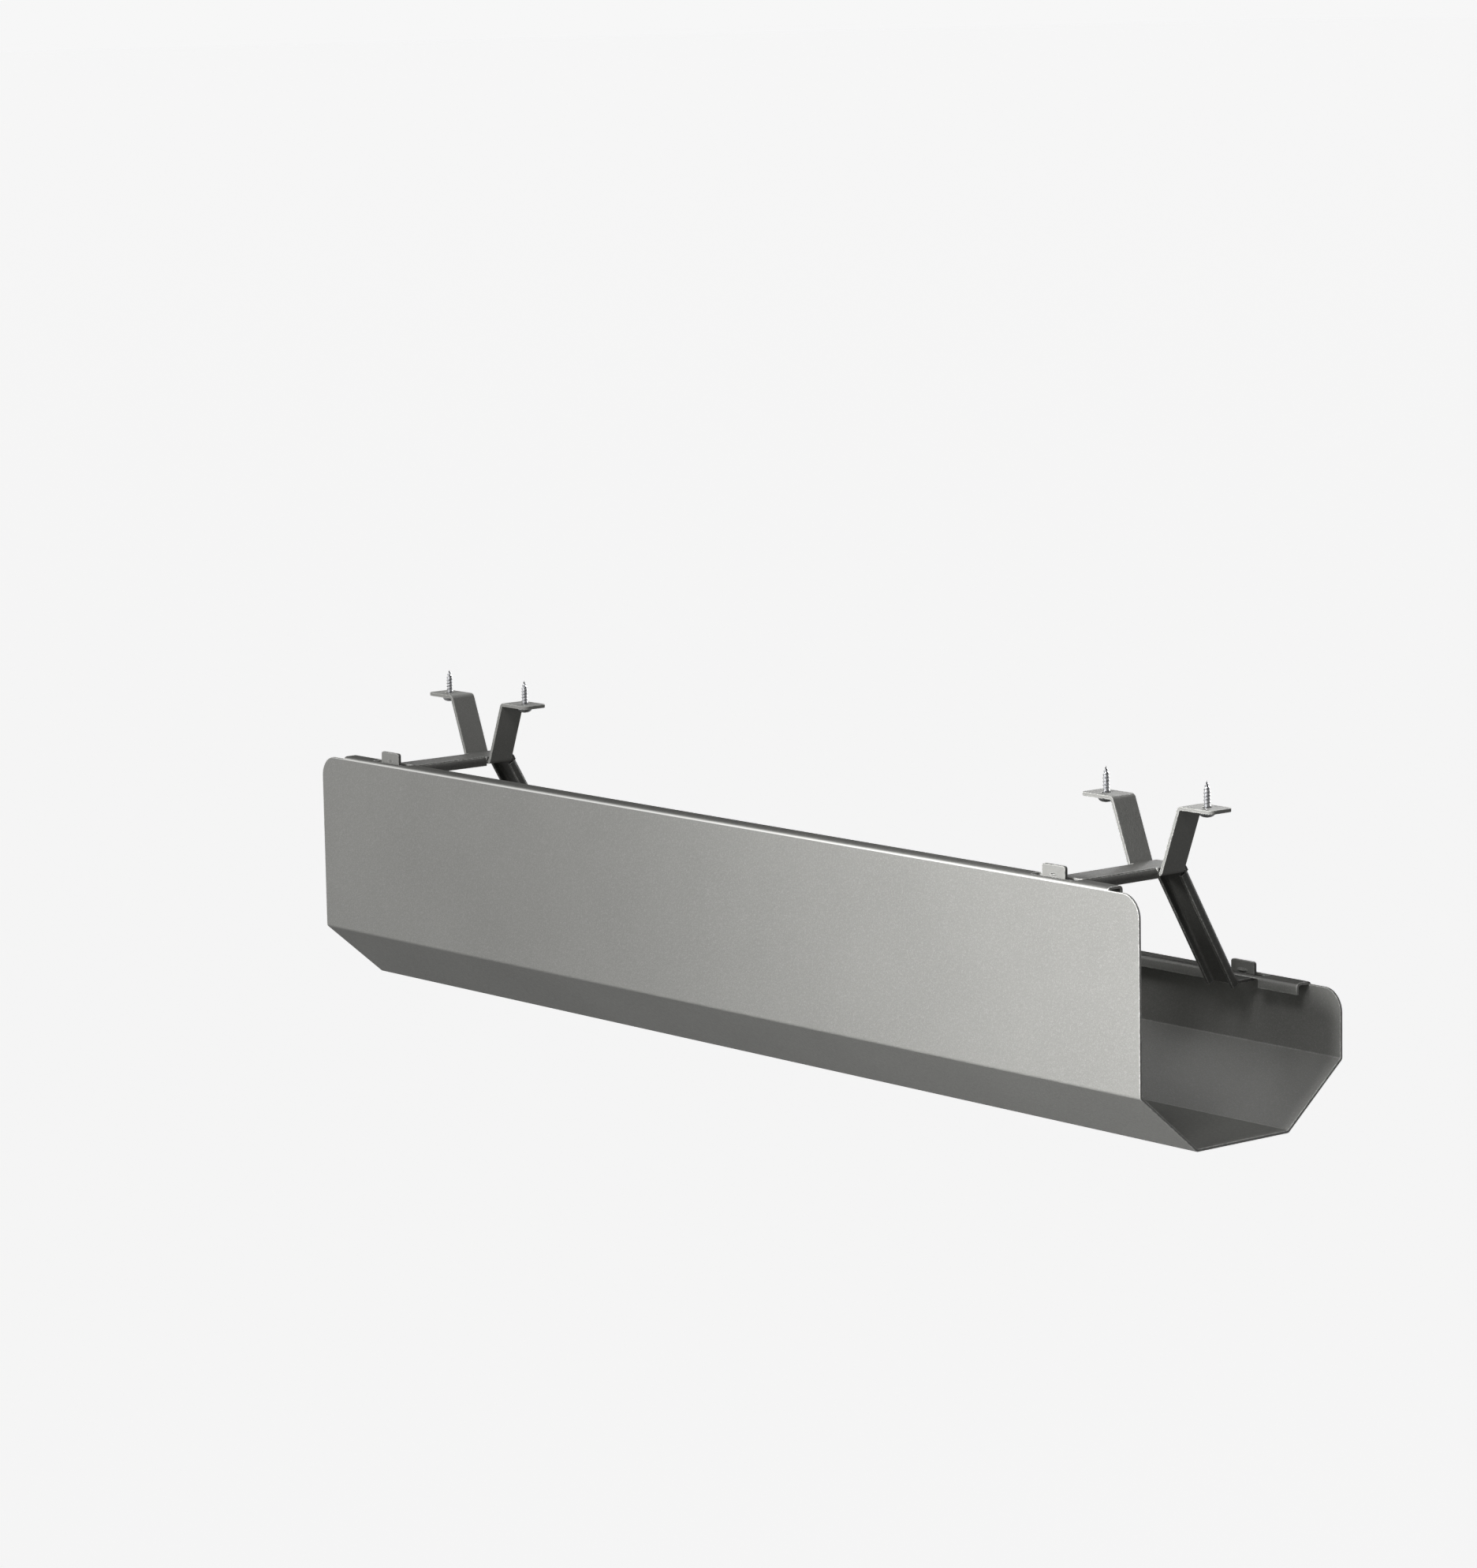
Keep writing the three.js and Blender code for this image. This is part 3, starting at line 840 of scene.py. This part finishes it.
def powder_coat(name, colour, speck, wear_and_highlight_colour, flanged=False, upright_light=None):
    """Fine-textured powder coat: specks, an uneven skin, and a paler coat on the edges, which is partly
    wear and partly a painted highlight.

    flanged is for the tray: a highlight painted along its top folds, and shade painted on its flanges'
    upper faces as if close under the desktop. upright_light is a paler colour, painted light on the faces
    that point along Y.
    """
    material, tree, shader = new_material(name)
    shader.inputs["Specular IOR Level"].default_value = COAT_SPECULAR
    place = object_place(tree)
    grain = noise(tree, place, COAT_GRAIN, 2)
    pimples = noise(tree, place, COAT_PIMPLES, 3)
    clouds = noise(tree, place, COAT_CLOUDS, 3, COAT_CLOUD_ROUGHNESS)
    shaded = tuple(value * COAT_CLOUD_SHADE for value in colour)
    base = mix(tree, remap(tree, clouds, NOISE_SPAN, 0, COAT_CLOUD_DEPTH), colour, shaded)
    # Painted light on the faces that point along Y.
    if upright_light:
        base = mix(tree, upright_light_mask(tree), base, upright_light)
    base = mix(tree, remap(tree, grain, COAT_SPECKS, 0, COAT_SPECKLE), base, speck)
    # The paler coat on the edges is partly wear and partly a painted highlight.
    wear_and_highlight = combine(tree, "MULTIPLY", edge_mask(tree), remap(tree, pimples, COAT_WEAR_AND_HIGHLIGHT_SPAN, *COAT_WEAR_AND_HIGHLIGHT))
    if flanged:
        # Painted shade on the flanges' upper faces; their specular is dimmed with it.
        overhead_shade = overhead_shade_mask(tree, place)
        base = mix(tree, overhead_shade, base, FLANGE_SHADE)
        shine = combine(tree, "MULTIPLY", combine(tree, "SUBTRACT", 1, overhead_shade), COAT_SPECULAR)
        tree.links.new(shine, shader.inputs["Specular IOR Level"])
        # A highlight painted as a paler coat along the top folds.
        fold_highlight = combine(tree, "MULTIPLY", fold_highlight_mask(tree, place), COAT_FOLD_HIGHLIGHT)
        wear_and_highlight = combine(tree, "MAXIMUM", wear_and_highlight, fold_highlight)
    tree.links.new(mix(tree, wear_and_highlight, base, wear_and_highlight_colour), shader.inputs["Base Color"])
    rough = remap(tree, pimples, NOISE_SPAN, *COAT_ROUGHNESS)
    rough = combine(tree, "ADD", rough, remap(tree, clouds, NOISE_SPAN, 0, COAT_CLOUD_DULL))
    rough = combine(tree, "SUBTRACT", rough, combine(tree, "MULTIPLY", wear_and_highlight, COAT_POLISH))
    tree.links.new(rough, shader.inputs["Roughness"])
    height = combine(tree, "ADD", combine(tree, "MULTIPLY", grain, COAT_GRAIN_HEIGHT), pimples)
    bump(tree, shader, height, *COAT_BUMP)
    return material


def zinc():
    """Bright zinc plate with a fine grain and dull patches."""
    material, tree, shader = new_material("zinc")
    shader.inputs["Metallic"].default_value = 1
    place = object_place(tree)
    clouds = noise(tree, place, ZINC_CLOUDS, 3)
    base = mix(tree, remap(tree, clouds, ZINC_PATCHES), ZINC_BRIGHT, ZINC_DULL)
    tree.links.new(base, shader.inputs["Base Color"])
    tree.links.new(remap(tree, clouds, NOISE_SPAN, *ZINC_ROUGHNESS), shader.inputs["Roughness"])
    bump(tree, shader, noise(tree, place, ZINC_GRAIN, 2), *ZINC_BUMP)
    return material


# ---- Pieces ----


def settle(piece, material, slot, body, *nodes):
    piece.data.materials.clear()
    piece.data.materials.append(material)
    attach(piece, body)
    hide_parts(*nodes)


def make_pieces():
    tray_coat = powder_coat("tray_coat", TRAY_GREY, TRAY_SPECK, TRAY_WEAR_AND_HIGHLIGHT, flanged=True)
    # The arm's coat is a darker copy of the strap's: painted shade.
    arm_shaded_coat = powder_coat("arm_shaded_coat", ARM_SHADED_GREY, ARM_SHADED_SPECK, HANGER_WEAR_AND_HIGHLIGHT, upright_light=HANGER_UPRIGHT_LIGHT)
    strap_coat = powder_coat("strap_coat", STRAP_GREY, STRAP_SPECK, HANGER_WEAR_AND_HIGHLIGHT, upright_light=HANGER_UPRIGHT_LIGHT)
    screw_zinc = zinc()
    settle(make_tray(), tray_coat, "tray_coat", "tray", "tray")
    for side, label in ((-1, "left"), (1, "right")):
        x = side * HANGER_OFFSET
        settle(make_arm(label, x), arm_shaded_coat, "hanger_coat", "hangers", f"hanger_{label}_arm")
        settle(make_strap(label, x), strap_coat, "hanger_coat", "hangers", f"hanger_{label}_strap")
        for foot, place in ((side, "outer"), (-side, "inner")):
            screw = make_screw(f"{label}_{place}", x + foot * SCREW_OFFSET)
            settle(screw, screw_zinc, "screw_zinc", "hangers", f"screw_{label}_{place}")


# ---- Stage ----


def make_floor():
    """A glowing floor far below. It is hidden from bounce light, so that it doesn't light the tray."""
    bm = bmesh.new()
    bmesh.ops.create_grid(bm, x_segments=1, y_segments=1, size=ROOM_FLOOR_HALF)
    mesh = bpy.data.meshes.new("floor")
    bm.to_mesh(mesh)
    bm.free()
    floor = bpy.data.objects.new("floor", mesh)
    floor.location.z = ROOM_FLOOR_Z
    floor.visible_diffuse = False
    floor.visible_glossy = False
    bpy.context.scene.collection.objects.link(floor)
    material, _, shader = new_material("floor")
    shader.inputs["Base Color"].default_value = (*ROOM_FLOOR_GREY, 1)
    shader.inputs["Roughness"].default_value = ROOM_FLOOR_ROUGHNESS
    shader.inputs["Emission Color"].default_value = (1, 1, 1, 1)
    shader.inputs["Emission Strength"].default_value = ROOM_FLOOR_GLOW
    mesh.materials.append(material)


def make_world():
    world = bpy.data.worlds.new("studio")
    bpy.context.scene.world = world
    world.use_nodes = True
    tree = world.node_tree
    background = tree.nodes["Background"]
    direction = split(tree, node(tree, "ShaderNodeTexCoord").outputs["Generated"])
    above = remap(tree, direction["Z"], SKY_TOP_FADE, SKY_LEVEL, SKY_TOP)
    below = remap(tree, direction["Z"], SKY_BOTTOM_FADE, SKY_BOTTOM, SKY_LEVEL)
    across = remap(tree, direction["X"], SKY_RIGHT_FADE, 1, SKY_RIGHT)
    level = combine(tree, "MULTIPLY", combine(tree, "MINIMUM", above, below), across)
    tree.links.new(level, background.inputs["Strength"])
    background.inputs["Color"].default_value = (1, 1, 1, 1)


def area_light(name, place, aim, size, power, spread):
    light = bpy.data.lights.new(name, "AREA")
    light.spread = math.radians(spread)
    light.shape = "RECTANGLE"
    light.size, light.size_y = size
    light.energy = power
    obj = bpy.data.objects.new(name, light)
    obj.location = place
    obj.rotation_euler = (Vector(aim) - Vector(place)).to_track_quat("-Z", "Y").to_euler()
    obj.visible_camera = False
    bpy.context.scene.collection.objects.link(obj)


def make_camera():
    """Looks along an azimuth turned from +Y, dipped below the horizon and slightly rolled."""
    data = bpy.data.cameras.new("camera")
    data.lens = CAMERA_LENS
    data.clip_end = 4 * ROOM_FLOOR_HALF
    camera = bpy.data.objects.new("camera", data)
    turn = Matrix.Rotation(CAMERA_AZIMUTH, 4, "Z") @ Matrix.Rotation(math.pi / 2 - CAMERA_DIP, 4, "X")
    camera.matrix_world = Matrix.Translation(CAMERA_PLACE) @ turn @ Matrix.Rotation(CAMERA_ROLL, 4, "Z")
    bpy.context.scene.collection.objects.link(camera)
    bpy.context.scene.camera = camera


make_camera()
make_pieces()
make_floor()
make_world()
for light in LIGHTS:
    area_light(*light)
bpy.context.scene.view_settings.view_transform = "Standard"
